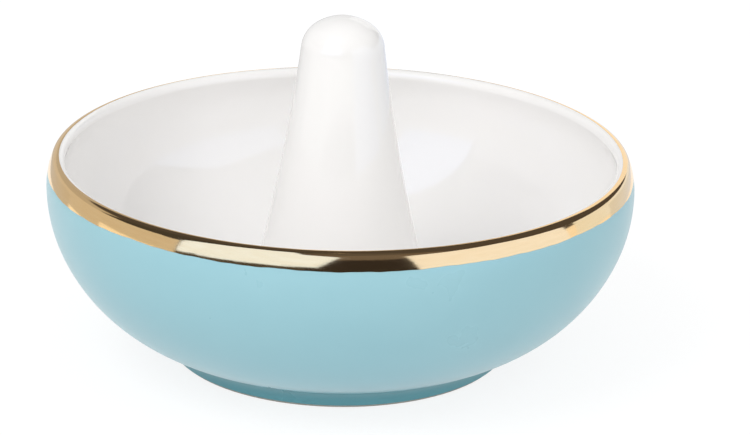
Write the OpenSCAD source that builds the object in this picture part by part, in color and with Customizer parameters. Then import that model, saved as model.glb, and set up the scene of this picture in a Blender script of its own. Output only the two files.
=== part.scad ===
// Ring dish: a round china bowl on a low foot ring, with a hollow tapered post
// in the middle that holds finger rings. The outside is turquoise, the inside
// and the post are white, and a gold band runs round the outer side of the lip.
//
// Every piece is turned about +Z. The origin is the centre of the circle that
// the dish stands on. A section is one outline in radius and height, made of
// arcs that run into each other without a corner.
//
// Each side of the dish is a path that takes a depth: how far it lies under the
// glazed surface. Depth 0 is the glazed surface and depth glaze_t is the bare
// china, and a coat of glaze is what lies between those two paths, so the coat
// and the china meet face to face all over.

/* [Bowl] */
// Diameter of the bowl where it is widest, over the glaze
dish_d = 102; // [96:1:110]
// Height of the widest ring above the table
belly_z = 30.2; // [29:0.2:32]
// Radius of the outline from the widest ring up to the lip
upper_r = 12; // [10:0.5:14]
// Turn of the outline from the widest ring up to the lip, in degrees
upper_turn = 23.5; // [18:0.5:28]
// Radius of the outline just under the widest ring
belly_r = 26; // [24:0.5:27]
// Turn of the outline from the widest ring down to the lower curve, in degrees
belly_turn = 24; // [18:1:30]
// Radius of the outline of the lower bowl
lower_r = 30; // [29:0.5:31]
// Thickness of the wall at the lip, over the glaze on both sides
wall_t = 2.3; // [2:0.1:2.8]
// Height of the glazed floor inside the bowl
floor_z = 5.7; // [5.2:0.1:6.4]

/* [Foot] */
// Diameter of the foot ring's outer wall, over the glaze
foot_d = 59.2; // [56:0.2:61]
// Width of the foot ring, over the glaze on both sides
foot_w = 3.4; // [3:0.1:4.2]
// Rounding of the bare standing edge
foot_edge_r = 0.6; // [0.4:0.1:0.8]
// Radius of the hollow between the foot ring and the bowl
foot_fillet_r = 1.2; // [0.8:0.1:1.5]
// Depth of the recess inside the foot ring
recess_z = 2; // [1.8:0.1:2.2]
// Radius of the corner of the recess
recess_fillet_r = 0.8; // [0.6:0.1:1]
// Diameter of the hole that lets air out of the hollow post in the kiln
vent_d = 6; // [4.5:0.5:8]

/* [Post] */
// Height of the top of the post above the table
post_h = 60.2; // [56:0.2:66]
// Radius of the top of the dome
dome_r = 8.7; // [8:0.1:9.5]
// Slope of the outline, in degrees above level, where the dome becomes its shoulder
dome_turn = 55; // [50:1:60]
// Radius of the shoulder of the dome
shoulder_r = 5.2; // [4.6:0.1:5.8]
// Lean of the side just under the shoulder, in degrees
post_lean = 7; // [5:0.5:9]
// Radius of the long hollow curve of the side
flare_r = 340; // [250:10:450]
// Thickness of the post's china wall
post_wall_t = 2.6; // [2.2:0.1:3.2]
// Radius of the slip joint between the post and the floor, over the glaze
joint_r = 4; // [3:0.5:5]

/* [Coats] */
// Thickness of every coat of glaze
glaze_t = 0.3; // [0.2:0.05:0.4]
// Thickness of the gold
gold_t = 0.1; // [0.08:0.02:0.16]
// Place where the gold starts on the round of the lip, in degrees above level
gold_start = 76; // [60:2:80]
// Height of the gold's lower edge above the widest ring
gold_rise = 2.6; // [2:0.1:3.4]
// Height of the bare china at the standing edge
bare_h = 0.9; // [0.8:0.1:1.2]

/* [Hidden] */

// Sides of each turned piece
$fn = 180;
// Turn from one point of an arc to the next, in degrees: on the bowl, on the
// small rounds, and on the long side of the post
bowl_step = 3;
small_step = 15;
flare_step = 0.8;

// Arcs of the bowl's outer side: centres, as [radius, height]
upper_c = [dish_d / 2 - upper_r, belly_z];
belly_c = [dish_d / 2 - belly_r, belly_z];
lower_c = belly_c + (lower_r - belly_r) * [-cos(belly_turn), sin(belly_turn)];
// The lip is a half round between the two sides of the wall
lip_r = wall_t / 2;
lip_c = upper_c + (upper_r - lip_r) * [cos(upper_turn), sin(upper_turn)];
// Inside, the bowl is one quarter round from the widest ring to the flat floor
hollow_r = belly_z - floor_z;
hollow_c = [dish_d / 2 - wall_t - hollow_r, belly_z];

// Foot ring: its bare walls, its recess, and the hollow above its outer wall
foot_out_r = foot_d / 2 - glaze_t;
foot_in_r = foot_d / 2 - foot_w + glaze_t;
recess_c = [foot_d / 2 - foot_w - recess_fillet_r, recess_z - recess_fillet_r];
fillet_x = foot_d / 2 + foot_fillet_r;
fillet_drop = sqrt(pow(lower_r + foot_fillet_r, 2) - pow(fillet_x - lower_c[0], 2));
fillet_c = [fillet_x, lower_c[1] - fillet_drop];
fillet_turn = atan2(-fillet_drop, fillet_x - lower_c[0]);
vent_r = vent_d / 2;

// Arcs of the post's side
dome_c = [0, post_h - dome_r];
shoulder_c = dome_c + (dome_r - shoulder_r) * [cos(dome_turn), sin(dome_turn)];
flare_c = shoulder_c + (shoulder_r + flare_r) * [cos(post_lean), sin(post_lean)];
// The slip joint's hollow touches the side of the post and the floor
joint_rise = flare_c[1] - floor_z - joint_r;
joint_reach = sqrt(pow(flare_r - joint_r, 2) - pow(joint_rise, 2));
joint_c = [flare_c[0] - joint_reach, floor_z + joint_r];
joint_turn = 180 + atan2(joint_rise, joint_reach);
// The bare post stands on the bare floor
bare_floor_z = floor_z - glaze_t;

// Place on the upper outline where the gold ends, in degrees
gold_end = asin(gold_rise / upper_r);

// One point of an arc, and all the points after its first one
function at(c, r, turn) = c + r * [cos(turn), sin(turn)];
function arc(c, r, from, to, step) =
    let (n = ceil(abs(to - from) / step))
    [for (i = [1:n]) at(c, r, from + (to - from) * i / n)];
function back(path) = [for (i = [len(path) - 1:-1:0]) path[i]];

// The outer side, from the start of the gold down to the foot ring's wall
function gold_side(depth) = concat(
    [at(lip_c, lip_r - depth, gold_start)],
    arc(lip_c, lip_r - depth, gold_start, upper_turn, small_step),
    arc(upper_c, upper_r - depth, upper_turn, gold_end, bowl_step));
function outer_side(depth) = concat(
    gold_side(depth),
    arc(upper_c, upper_r - depth, gold_end, 0, bowl_step),
    arc(belly_c, belly_r - depth, 0, -belly_turn, bowl_step),
    arc(lower_c, lower_r - depth, -belly_turn, fillet_turn, bowl_step),
    arc(fillet_c, foot_fillet_r + depth, 180 + fillet_turn, 180, small_step));

// The inner side, from the start of the gold over the lip to the floor
function inner_side(depth) = concat(
    [at(lip_c, lip_r - depth, gold_start)],
    arc(lip_c, lip_r - depth, gold_start, upper_turn + 180, small_step),
    arc(upper_c, upper_r - wall_t + depth, upper_turn, 0, bowl_step),
    arc(hollow_c, hollow_r + depth, 0, -90, bowl_step));

// The slip joint's hollow, from the floor to the side of the post
function joint_side(depth) = concat(
    [at(joint_c, joint_r + depth, 270)],
    arc(joint_c, joint_r + depth, 270, joint_turn, small_step));

// The foot of the post, from the bare floor to the top of the slip joint
function post_foot(depth) =
    let (r = flare_r + depth, floor_turn = 180 + asin((flare_c[1] - bare_floor_z) / r))
    concat([at(flare_c, r, floor_turn)], arc(flare_c, r, floor_turn, joint_turn, flare_step));

// The post's side above the slip joint, to the top of the dome
function post_side(depth) = concat(
    arc(flare_c, flare_r + depth, joint_turn, 180 + post_lean, flare_step),
    arc(shoulder_c, shoulder_r - depth, post_lean, dome_turn, small_step),
    arc(dome_c, dome_r - depth, dome_turn, 90, small_step));

// The recess under the bowl, from the vent to the foot ring's inner wall
function recess_side(depth, hole_r) = concat(
    [[hole_r, recess_z + depth], at(recess_c, recess_fillet_r + depth, 90)],
    arc(recess_c, recess_fillet_r + depth, 90, 0, small_step));

// Round of the standing edge, at the outer or the inner side of the foot ring
function foot_edge(x, from, to) = concat(
    [at([x, foot_edge_r], foot_edge_r, from)],
    arc([x, foot_edge_r], foot_edge_r, from, to, small_step));

module turned(colour, outline) {
    color(colour) rotate_extrude() polygon(outline);
}

// China bowl with its lip, floor, foot ring and vent hole
module dish_body() {
    turned("white", concat(
        outer_side(glaze_t),
        foot_edge(foot_out_r - foot_edge_r, 0, -90),
        foot_edge(foot_in_r + foot_edge_r, 270, 180),
        back(recess_side(glaze_t, vent_r)),
        [[vent_r, bare_floor_z]],
        back(arc(hollow_c, hollow_r + glaze_t, 0, -90, bowl_step)),
        back(arc(upper_c, upper_r - wall_t + glaze_t, upper_turn, 0, bowl_step)),
        back(arc(lip_c, lip_r - glaze_t, gold_start, upper_turn + 180, small_step))));
}

// Hollow china post, open at the bottom, where it stands on the floor
module ring_post() {
    inside = glaze_t + post_wall_t;
    turned("white", concat(
        post_foot(glaze_t),
        post_side(glaze_t),
        back(post_side(inside)),
        back(post_foot(inside))));
}

// Ring of clay slip in the corner between the post and the floor
module slip_joint() {
    turned("white", concat(post_foot(glaze_t), back(joint_side(glaze_t))));
}

// Clear glaze over the lip, the inside of the bowl, the slip joint and the post
module inner_glaze() {
    turned("white", concat(
        inner_side(0), joint_side(0), post_side(0),
        back(post_side(glaze_t)), back(joint_side(glaze_t)), back(inner_side(glaze_t))));
}

// Turquoise glaze over the outside, down to the bare standing edge
module turquoise_glaze() {
    turned("mediumturquoise", concat(
        outer_side(0),
        [[foot_d / 2, bare_h], [foot_out_r, bare_h]],
        back(outer_side(glaze_t))));
}

// Clear glaze in the recess, drawn back from the rim of the vent hole
module base_glaze() {
    hole_r = vent_r + glaze_t;
    turned("white", concat(
        recess_side(0, hole_r),
        [[foot_in_r - glaze_t, bare_h], [foot_in_r, bare_h]],
        back(recess_side(glaze_t, hole_r))));
}

// Gold fired on to the turquoise glaze, on the outer side of the lip
module gold_band() {
    turned("gold", concat(gold_side(-gold_t), back(gold_side(0))));
}

dish_body();
ring_post();
slip_joint();
inner_glaze();
turquoise_glaze();
base_glaze();
gold_band();
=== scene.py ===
# Ring dish: a china bowl with a tapered post in the middle for finger rings.
# White glaze inside, turquoise glaze outside, and a fired gold band at the lip.
import math

import bmesh
import bpy
from mathutils import Matrix, Vector


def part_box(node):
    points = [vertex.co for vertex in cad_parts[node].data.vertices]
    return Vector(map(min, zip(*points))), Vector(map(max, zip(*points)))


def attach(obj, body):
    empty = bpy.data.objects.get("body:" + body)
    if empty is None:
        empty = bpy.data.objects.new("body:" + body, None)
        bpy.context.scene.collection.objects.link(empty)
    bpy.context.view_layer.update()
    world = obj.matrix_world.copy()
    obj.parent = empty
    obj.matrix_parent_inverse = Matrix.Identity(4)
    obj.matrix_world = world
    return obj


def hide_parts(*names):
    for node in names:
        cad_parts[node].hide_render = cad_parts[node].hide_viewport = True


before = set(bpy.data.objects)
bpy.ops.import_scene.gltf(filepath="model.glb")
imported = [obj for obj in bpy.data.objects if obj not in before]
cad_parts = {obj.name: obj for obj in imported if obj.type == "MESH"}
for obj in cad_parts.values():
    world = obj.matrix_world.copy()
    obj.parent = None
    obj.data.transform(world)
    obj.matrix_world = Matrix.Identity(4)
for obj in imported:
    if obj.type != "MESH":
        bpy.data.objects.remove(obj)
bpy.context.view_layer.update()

# Metres in a millimetre. Turns are in degrees all through.
mm = 0.001


# Bare china: the bowl, the hollow post, and the slip joint that sticks them together.
# All three are slip-cast porcelain, fired to bisque and then glazed. The china shows
# bare only at the standing edge, where no glaze may stick to the kiln shelf.

def linear(hex_code):
    """A colour picked as an sRGB hex value, as the linear colour that shaders take."""
    parts = [int(hex_code[i:i + 2], 16) / 255 for i in (1, 3, 5)]
    return [p / 12.92 if p <= 0.04045 else ((p + 0.055) / 1.055) ** 2.4 for p in parts] + [1]


def add(tree, kind, settings={}, **inputs):
    """Adds a node: settings are its options, and inputs its sockets by name or by s and number."""
    node = tree.nodes.new(kind)
    for option, value in settings.items():
        setattr(node, option, value)
    for name, value in inputs.items():
        number = name[1:] if name[0] == "s" and name[1:].isdigit() else None
        socket = node.inputs[int(number)] if number else node.inputs[name.replace("_", " ")]
        if isinstance(value, bpy.types.NodeSocket):
            tree.links.new(value, socket)
        else:
            socket.default_value = value
    return node


def new_material(name):
    """A node material with nothing but its output, and the output node."""
    material = bpy.data.materials.new(name)
    material.use_nodes = True
    material.node_tree.nodes.clear()
    return material, add(material.node_tree, "ShaderNodeOutputMaterial")


# Unglazed porcelain bisque, sponged smooth: dry and matt, with a fine grain and a faint
# blush from the kiln. The grain is drawn as coarse as it needs to show.
bisque, surface = new_material("unglazed_bisque")
tree = bisque.node_tree
place = add(tree, "ShaderNodeTexCoord").outputs["Object"]
grain_size = 0.35 * mm
blush_size = 6 * mm
grain = add(tree, "ShaderNodeTexNoise", Vector=place, Scale=1 / grain_size, Detail=4.0).outputs[0]
blush = add(tree, "ShaderNodeTexNoise", Vector=place, Scale=1 / blush_size, Detail=2.0).outputs[0]
clay = add(tree, "ShaderNodeMix", {"data_type": "RGBA"}, s0=blush,
           s6=linear("#D6D0C8"), s7=linear("#C2B8AC"))
bump = add(tree, "ShaderNodeBump", Height=grain, Strength=0.4, Distance=0.05 * mm)
shader = add(tree, "ShaderNodeBsdfPrincipled", Base_Color=clay.outputs[2], Roughness=0.85,
             Normal=bump.outputs[0])
tree.links.new(shader.outputs[0], surface.inputs[0])

for name in ("dish_body", "ring_post", "slip_joint"):
    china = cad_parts[name]
    china.data.materials.clear()
    china.data.materials.append(bisque)


# Clear glaze over the lip, the inside of the bowl, the joint and the post: one
# unbroken coat, poured in and swilled round, that shows the white china under it.
# Its shell runs down the glazed surface and back up the bare china, 0.3 mm under it.

glaze_t = 0.3 * mm
dish_r = 51 * mm
# Height of the widest ring above the table, and of the glazed floor inside
belly_z = 30.2 * mm
floor_z = 5.7 * mm
wall_t = 2.3 * mm
# Outline from the widest ring up to the lip: its radius, and how far it turns
upper_r = 12 * mm
upper_turn = 23.5
lip_r = wall_t / 2
# Where the white and the turquoise meet on the round of the lip, under the gold
coats_meet = 76
upper_c = Vector((dish_r - upper_r, 0, belly_z))
hollow_r = belly_z - floor_z
hollow_c = Vector((dish_r - wall_t - hollow_r, 0, belly_z))
# Post: the dome and its shoulder, the lean and hollow of the side, and the slip joint
post_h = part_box("inner_glaze")[1].z
dome_r = 8.7 * mm
dome_turn = 55
shoulder_r = 5.2 * mm
post_lean = 7
flare_r = 340 * mm
joint_r = 4 * mm


def ray(turn, reach):
    """A step of that reach in the plane of the outline, turn degrees above level."""
    return Vector((math.cos(math.radians(turn)), 0, math.sin(math.radians(turn)))) * reach


lip_c = upper_c + ray(upper_turn, upper_r - lip_r)
dome_c = Vector((0, 0, post_h - dome_r))
shoulder_c = dome_c + ray(dome_turn, dome_r - shoulder_r)
flare_c = shoulder_c + ray(post_lean, shoulder_r + flare_r)
joint_rise = flare_c.z - floor_z - joint_r
joint_reach = math.sqrt((flare_r - joint_r) ** 2 - joint_rise ** 2)
joint_c = Vector((flare_c.x - joint_reach, 0, floor_z + joint_r))
joint_turn = math.degrees(math.atan2(joint_rise, joint_reach))

# Each arc is (centre, degrees turned), and the next one starts where it ends.
# A number in the list is a level run to that distance from the axis.
over_lip = [(lip_c, 180 + upper_turn - coats_meet), (upper_c, -upper_turn), (hollow_c, -90)]
up_post = [
    joint_c.x,
    (joint_c, joint_turn - 90),
    (flare_c, post_lean - joint_turn),
    (shoulder_c, dome_turn - post_lean),
    (dome_c, 90 - dome_turn),
]
inside = over_lip + up_post


longest_turn = 5
same_point = 0.001 * mm
crisp_corner = 40


def run(bm, tip, arcs, longest):
    """Draws an outline on from its last point, in steps of at most longest_turn and that length."""
    for arc in arcs:
        if isinstance(arc, tuple):
            centre, turned = arc
            length = math.radians(abs(turned)) * (tip.co - centre).length
            steps = math.ceil(max(abs(turned) / longest_turn, length / longest))
            last = bmesh.ops.spin(bm, geom=[tip], cent=centre, axis=(0, -1, 0),
                                  angle=math.radians(turned), steps=steps)["geom_last"]
        else:
            last = bmesh.ops.extrude_vert_indiv(bm, verts=[tip])["verts"]
            last[0].co.x = arc
        tip = [v for v in last if isinstance(v, bmesh.types.BMVert)][0]
    return tip


def stand(bm, name, material):
    """Makes an object of the mesh, with its origin at the origin of the frame."""
    mesh = bpy.data.meshes.new(name)
    bm.to_mesh(mesh)
    bm.free()
    mesh.materials.append(material)
    piece = bpy.data.objects.new(name, mesh)
    bpy.context.scene.collection.objects.link(piece)
    return piece


def turned_piece(bm, name, material, sides=256, brush=None):
    """Turns the outline about +Z into a closed piece with smooth sides and crisp corners.
    A brush moves each point of the turned piece, as an unsteady hand would."""
    bmesh.ops.spin(bm, geom=bm.verts[:] + bm.edges[:], cent=(0, 0, 0), axis=(0, 0, 1),
                   angle=math.tau, steps=sides, use_merge=True)
    bmesh.ops.remove_doubles(bm, verts=bm.verts, dist=same_point)
    if brush:
        for vert in bm.verts:
            brush(vert)
    bmesh.ops.recalc_face_normals(bm, faces=bm.faces)
    for face in bm.faces:
        face.smooth = True
    for edge in bm.edges:
        edge.smooth = edge.calc_face_angle(0) < math.radians(crisp_corner)
    piece = stand(bm, name, material)
    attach(piece, "root")
    return piece


# White porcelain under clear glaze, poured: glassy, a little wavy, and a touch duller
# in patches where the glaze is thinner
porcelain, surface = new_material("clear_glaze_on_white_china")
tree = porcelain.node_tree
place = add(tree, "ShaderNodeTexCoord").outputs["Object"]
cloud_size = 22 * mm
ripple_size = 5 * mm
cloud = add(tree, "ShaderNodeTexNoise", Vector=place, Scale=1 / cloud_size, Detail=3.0).outputs[0]
ripple = add(tree, "ShaderNodeTexNoise", Vector=place, Scale=1 / ripple_size, Detail=2.0).outputs[0]
white = add(tree, "ShaderNodeMix", {"data_type": "RGBA"}, s0=cloud,
            s6=linear("#FBF9F8"), s7=linear("#F8F7F5"))
gloss = add(tree, "ShaderNodeMapRange", Value=cloud, To_Min=0.03, To_Max=0.07)
bump = add(tree, "ShaderNodeBump", Height=ripple, Strength=0.35, Distance=0.02 * mm)
shader = add(tree, "ShaderNodeBsdfPrincipled", Base_Color=white.outputs[2], Roughness=gloss.outputs[0],
             IOR=1.52, Normal=bump.outputs[0])
tree.links.new(shader.outputs[0], surface.inputs[0])

bm = bmesh.new()
glazed = bm.verts.new(lip_c + ray(coats_meet, lip_r))
run(bm, glazed, inside, 1 * mm)
bare = bmesh.ops.extrude_vert_indiv(bm, verts=[glazed])["verts"][0]
bare.co = lip_c + ray(coats_meet, lip_r - glaze_t)
run(bm, bare, inside, 3 * mm)
inner_coat = turned_piece(bm, "inner_glaze_coat", porcelain)
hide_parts("inner_glaze")


# Clear glaze in the recess of the foot: the same glaze, wiped back from the foot ring
# and from the vent hole under the post. The real coat is as the solid has it.

base_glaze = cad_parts["base_glaze"]
base_glaze.data.materials.clear()
base_glaze.data.materials.append(porcelain)


# Turquoise glaze over the whole outside: dipped, so that it is thin on the belly and
# pools in the corner above the foot ring, where it softens the china's tight hollow.
# It stops just above the bare standing edge.

# Outline under the widest ring: two radii, and how far the first one turns
belly_r = 26 * mm
belly_turn = 24
lower_r = 30 * mm
foot_r = 29.6 * mm
# Hollow above the foot ring, in the china and over the pooled glaze
china_hollow_r = 1.2 * mm
pooled_hollow_r = 3.2 * mm
glaze_end = 0.6 * mm
belly_c = Vector((dish_r - belly_r, 0, belly_z))
lower_c = belly_c + ray(-belly_turn, belly_r - lower_r)


def down_outside(hollow_r):
    """Arcs from the lip down to the foot ring, with a hollow of that radius above the ring."""
    hollow_x = foot_r + hollow_r
    drop = math.sqrt((lower_r + hollow_r) ** 2 - (hollow_x - lower_c.x) ** 2)
    hollow_turn = math.degrees(math.atan2(drop, hollow_x - lower_c.x))
    return [
        (lip_c, upper_turn - coats_meet),
        (upper_c, -upper_turn),
        (belly_c, -belly_turn),
        (lower_c, belly_turn - hollow_turn),
        (Vector((hollow_x, 0, lower_c.z - drop)), hollow_turn),
    ]


# Opaque turquoise glaze, dipped: a smooth satin gloss, slightly cloudy, and darker towards
# the foot, partly from deeper colour where the glaze pooled and partly as painted shade near the table
turquoise, surface = new_material("turquoise_satin_glaze")
tree = turquoise.node_tree
place = add(tree, "ShaderNodeTexCoord").outputs["Object"]
height = add(tree, "ShaderNodeSeparateXYZ", Vector=place).outputs[2]
cloud_size = 14 * mm
ripple_size = 7 * mm
cloud = add(tree, "ShaderNodeTexNoise", Vector=place, Scale=1 / cloud_size, Detail=4.0).outputs[0]
ripple = add(tree, "ShaderNodeTexNoise", Vector=place, Scale=1 / ripple_size, Detail=2.0).outputs[0]
body = add(tree, "ShaderNodeMix", {"data_type": "RGBA"}, s0=cloud,
           s6=linear("#A0CED8"), s7=linear("#98C8D3"))
# Painted shade along with the pooled glaze: the colour darkens towards #6EAFBA below 6 mm, fully below
# 1.5 mm
pooled_and_shade = add(tree, "ShaderNodeMapRange", {"interpolation_type": "SMOOTHSTEP"}, Value=height,
             From_Min=1.5 * mm, From_Max=6 * mm, To_Min=1.0, To_Max=0.0)
colour = add(tree, "ShaderNodeMix", {"data_type": "RGBA"}, s0=pooled_and_shade.outputs[0], s6=body.outputs[2],
             s7=linear("#6EAFBA"))
gloss = add(tree, "ShaderNodeMapRange", Value=cloud, To_Min=0.24, To_Max=0.34)
bump = add(tree, "ShaderNodeBump", Height=ripple, Strength=0.3, Distance=0.02 * mm)
shader = add(tree, "ShaderNodeBsdfPrincipled", Base_Color=colour.outputs[2], Roughness=gloss.outputs[0],
             IOR=1.5, Normal=bump.outputs[0])
tree.links.new(shader.outputs[0], surface.inputs[0])

bm = bmesh.new()
glazed = bm.verts.new(lip_c + ray(coats_meet, lip_r))
hem = run(bm, glazed, down_outside(pooled_hollow_r), 1 * mm)
bare = bmesh.ops.extrude_vert_indiv(bm, verts=[glazed])["verts"][0]
bare.co = lip_c + ray(coats_meet, lip_r - glaze_t)
bare_hem = run(bm, bare, down_outside(china_hollow_r), 3 * mm)
edge_out = bmesh.ops.extrude_vert_indiv(bm, verts=[hem])["verts"][0]
edge_out.co.z = glaze_end
edge_in = bmesh.ops.extrude_vert_indiv(bm, verts=[bare_hem])["verts"][0]
edge_in.co.z = glaze_end
bm.edges.new((edge_out, edge_in))
outer_coat = turned_piece(bm, "turquoise_coat", turquoise)
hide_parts("turquoise_glaze")


# Gold band: bright gold, brushed on over both glazes on a banding wheel and fired again.
# It goes over the crest of the lip, least at the back, and its lower edge wavers with
# the brush. It is a film, so it is drawn much thicker than real gold, to be a solid.

gold_t = 0.04 * mm
sunk = 0.02 * mm
# Height of the lower edge above the widest ring
gold_rise = 2.6 * mm
# Upper edge on the round of the lip, at the front and sides, and right at the back
over_crest = 98
back_crest = 78
# How soon the upper edge gets from its place at the back to its place at the sides
crest_swing = 0.7
gold_end = math.degrees(math.asin(gold_rise / upper_r))
band = [(lip_c, upper_turn - over_crest), (upper_c, gold_end - upper_turn)]

# Liquid bright gold, fired on: mirror-smooth metal, faintly streaked along the stroke
gold, surface = new_material("bright_fired_gold")
tree = gold.node_tree
place = add(tree, "ShaderNodeTexCoord").outputs["Object"]
streak_size = 4 * mm
streaks_up = 7
stroke = add(tree, "ShaderNodeMapping", Vector=place, Scale=(1, 1, streaks_up))
streak = add(tree, "ShaderNodeTexNoise", Vector=stroke.outputs[0], Scale=1 / streak_size,
             Detail=3.0).outputs[0]
metal = add(tree, "ShaderNodeMix", {"data_type": "RGBA"}, s0=streak,
            s6=linear("#FDD9A2"), s7=linear("#F8CF92"))
gloss = add(tree, "ShaderNodeMapRange", Value=streak, To_Min=0.05, To_Max=0.12)
bump = add(tree, "ShaderNodeBump", Height=streak, Strength=0.25, Distance=0.02 * mm)
shader = add(tree, "ShaderNodeBsdfPrincipled", Base_Color=metal.outputs[2], Metallic=1.0,
             Roughness=gloss.outputs[0], Normal=bump.outputs[0])
tree.links.new(shader.outputs[0], surface.inputs[0])

# Waves of the lower edge: times round the dish, rise, and start in radians
waves = [(5, 0.06 * mm, 0.4), (11, 0.05 * mm, 1.9), (23, 0.035 * mm, 4.1), (47, 0.03 * mm, 2.7),
         (97, 0.02 * mm, 5.3)]


def unsteady(vert):
    """Slides a point of the gold along the round of the wall, as the brush moved."""
    azimuth = math.atan2(vert.co.y, vert.co.x)
    spoke = Vector((math.cos(azimuth), math.sin(azimuth), 0))
    here = Vector((vert.co.dot(spoke), 0, vert.co.z))
    centre = upper_c
    turn = math.degrees(math.atan2((here - centre).z, (here - centre).x))
    if turn < upper_turn:
        waver = sum(size * math.sin(times * azimuth + start) for times, size, start in waves)
        turn += (upper_turn - turn) / (upper_turn - gold_end) * math.degrees(waver / upper_r)
    else:
        centre = lip_c
        turn = math.degrees(math.atan2((here - centre).z, (here - centre).x))
        crest = back_crest + (over_crest - back_crest) * min(1, (1 - math.sin(azimuth)) / crest_swing)
        turn = upper_turn + (turn - upper_turn) * (crest - upper_turn) / (over_crest - upper_turn)
    slid = centre + ray(turn, (here - centre).length)
    vert.co = spoke * slid.x + Vector((0, 0, slid.z))


bm = bmesh.new()
under = bm.verts.new(lip_c + ray(over_crest, lip_r - sunk))
under_end = run(bm, under, band, 0.5 * mm)
shown = bm.verts.new(lip_c + ray(over_crest, lip_r + gold_t))
shown_end = run(bm, shown, band, 0.25 * mm)
bm.edges.new((under, shown))
bm.edges.new((under_end, shown_end))
gold_lip = turned_piece(bm, "gold_lip_band", gold, sides=640, brush=unsteady)
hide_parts("gold_band")


# Studio: white paper under the dish, an even white room, and glowing cards that are seen
# only in what the glazes and the gold mirror: two soft boxes, pale walls and dark flags.
# Azimuths are measured from the camera's side of the dish, with the right as plus.

def shown_white(tree):
    """A socket that is 1 for the rays which have to see plain white: camera, mirror and glass."""
    path = add(tree, "ShaderNodeLightPath").outputs
    mirrored = add(tree, "ShaderNodeMath", {"operation": "MAXIMUM"}, s0=path["Is Glossy Ray"],
                   s1=path["Is Transmission Ray"])
    seen = add(tree, "ShaderNodeMath", {"operation": "MAXIMUM"}, s0=path["Is Camera Ray"],
               s1=mirrored.outputs[0])
    return seen.outputs[0]


# White studio paper, rolled: to the eye it glows nearly white and keeps a faint shadow,
# and to the dish it is plain paper that throws light back
paper, surface = new_material("white_studio_paper")
tree = paper.node_tree
plain = add(tree, "ShaderNodeBsdfDiffuse", Color=(0.8, 0.8, 0.8, 1))
shaded = add(tree, "ShaderNodeBsdfDiffuse", Color=(0.2, 0.2, 0.2, 1))
glow = add(tree, "ShaderNodeEmission", Color=(1, 1, 1, 1), Strength=0.85)
bright = add(tree, "ShaderNodeAddShader", s0=shaded.outputs[0], s1=glow.outputs[0])
both = add(tree, "ShaderNodeMixShader", s0=shown_white(tree), s1=plain.outputs[0], s2=bright.outputs[0])
tree.links.new(both.outputs[0], surface.inputs[0])

paper_half = 3.0
bm = bmesh.new()
bmesh.ops.create_grid(bm, x_segments=1, y_segments=1, size=paper_half)
stand(bm, "floor", paper)

room_level = 0.66
world = bpy.data.worlds.new("white_room")
bpy.context.scene.world = world
world.use_nodes = True
tree = world.node_tree
tree.nodes.clear()
level = add(tree, "ShaderNodeMapRange", Value=shown_white(tree), To_Min=room_level, To_Max=1.0)
sky = add(tree, "ShaderNodeBackground", Color=(1, 1, 1, 1), Strength=level.outputs[0])
add(tree, "ShaderNodeOutputWorld", Surface=sky.outputs[0])

card_centre = Vector((0, 0, 35 * mm))


def hang(bm, name, colour):
    """Makes a glowing card of the mesh, which only reflections see."""
    look, out = new_material(name)
    light = add(look.node_tree, "ShaderNodeEmission", Color=(*colour, 1), Strength=1.0)
    look.node_tree.links.new(light.outputs[0], out.inputs[0])
    bmesh.ops.translate(bm, verts=bm.verts, vec=card_centre)
    card = stand(bm, name, look)
    card.visible_camera = False
    card.visible_diffuse = False
    card.visible_transmission = False
    card.visible_volume_scatter = False
    card.visible_shadow = False


def toward(azimuth, elevation, reach):
    """The point that far from the dish, with the azimuth measured from the camera's side."""
    return Matrix.Rotation(math.radians(azimuth - 90), 3, "Z") @ ray(elevation, reach)


box_reach = 500 * mm
wall_reach = 600 * mm
low_reach = 300 * mm
floor_reach = 165 * mm


def soft_box(name, colour, corners):
    """A bright panel with corners at those azimuths and elevations."""
    bm = bmesh.new()
    points = [bm.verts.new(toward(azimuth, elevation, box_reach)) for azimuth, elevation in corners]
    bmesh.ops.contextual_create(bm, geom=points)
    hang(bm, name, colour)


def wall(name, colour, azimuth, elevation, reach=wall_reach):
    """A patch of a dome round the dish, between pairs of azimuths and of elevations."""
    bm = bmesh.new()
    low = bm.verts.new(ray(elevation[0], reach))
    bmesh.ops.spin(bm, geom=[low], cent=(0, 0, 0), axis=(0, -1, 0),
                   angle=math.radians(elevation[1] - elevation[0]), steps=16)
    bmesh.ops.rotate(bm, verts=bm.verts, matrix=Matrix.Rotation(math.radians(azimuth[0] - 90), 3, "Z"))
    bmesh.ops.spin(bm, geom=bm.verts[:] + bm.edges[:], cent=(0, 0, 0), axis=(0, 0, 1),
                   angle=math.radians(azimuth[1] - azimuth[0]), steps=32)
    hang(bm, name, colour)


# The soft boxes are bluer than white, because the gold in the photograph mirrors them pale
soft_box("left_soft_box", (0.93, 1.24, 1.95),
         [(-60, 3.5), (-59, 30), (-55, 66), (-30, 68), (-15, 42), (1, 24), (-7, 8)])
soft_box("right_soft_box", (0.98, 1.13, 1.5),
         [(30, -3), (93, -3.8), (91, 12), (66, 31), (38, 27), (25, 23)])
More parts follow.
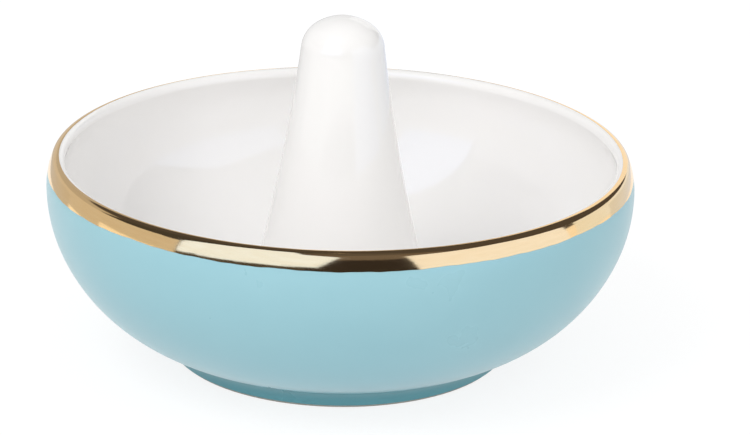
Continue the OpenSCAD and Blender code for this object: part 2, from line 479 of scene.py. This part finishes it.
# The pale walls end low down, and above them the gold mirrors a dark room
wall("left_wall", (0.64, 0.64, 0.64), (-185, -61), (0, 17))
wall("left_high_wall", (0.5, 0.5, 0.5), (-185, -103), (17, 34))
wall("left_low_wall", (0.64, 0.64, 0.64), (-180, -95), (-6.4, 3), low_reach)
wall("left_floor_wall", (0.6, 0.6, 0.6), (-180, -110), (-11.3, 0), floor_reach)
wall("right_low_wall", (0.88, 1.0, 1.2), (94, 150), (-6.4, 11), low_reach)
wall("right_floor_wall", (0.75, 0.84, 1.0), (110, 180), (-11.3, 0), floor_reach)
wall("camera_side", (0.035, 0.032, 0.034), (-12, 34), (0, 20))
wall("camera_side_top", (0.16, 0.15, 0.155), (-20, 45), (20, 48))
wall("left_dark", (0.06, 0.06, 0.06), (-103, -20), (17, 89))
wall("left_shade", (0.06, 0.06, 0.06), (-61, -12), (0, 17))
wall("middle_dark", (0.11, 0.105, 0.11), (-20, 45), (48, 89))
wall("right_dark", (0.08, 0.075, 0.08), (45, 150), (7, 89))
wall("rear_dark", (0.08, 0.075, 0.08), (150, 257), (34, 89))


def lamp(name, azimuth, elevation, size, power):
    """A square soft lamp a metre from the dish and turned to it, unseen in reflections."""
    light = bpy.data.lights.new(name, "AREA")
    light.size = size
    light.energy = power
    stand = bpy.data.objects.new(name, light)
    bpy.context.scene.collection.objects.link(stand)
    side = toward(azimuth, elevation, 1.0)
    stand.location = card_centre + side
    stand.rotation_euler = side.to_track_quat("Z", "Y").to_euler()
    stand.visible_glossy = False
    stand.visible_camera = False


lamp("key", -45, 50, 0.5, 3.1)
lamp("fill", 60, 40, 0.6, 0.9)
lamp("front", 0, 15, 0.6, 1.5)


# Camera: a long lens that looks down on the dish by 20 degrees, as the photograph does.
# The dish stands a little left of the middle of the picture, and the frame tilts a little.

distance = 620 * mm
look_down = 19.93
roll = 1.098
target = Vector((6.062 * mm, 0, 23.777 * mm))
lens = bpy.data.cameras.new("camera")
lens.sensor_width = 36
lens.lens = 170.5
lens.clip_start = 0.01
camera = bpy.data.objects.new("camera", lens)
bpy.context.scene.collection.objects.link(camera)
away = Vector((0, -math.cos(math.radians(look_down)), math.sin(math.radians(look_down))))
tilt = Matrix.Rotation(math.radians(90 - look_down), 4, "X") @ Matrix.Rotation(math.radians(roll), 4, "Z")
camera.matrix_world = Matrix.Translation(target + away * distance) @ tilt
bpy.context.scene.camera = camera
bpy.context.scene.view_settings.view_transform = "Standard"
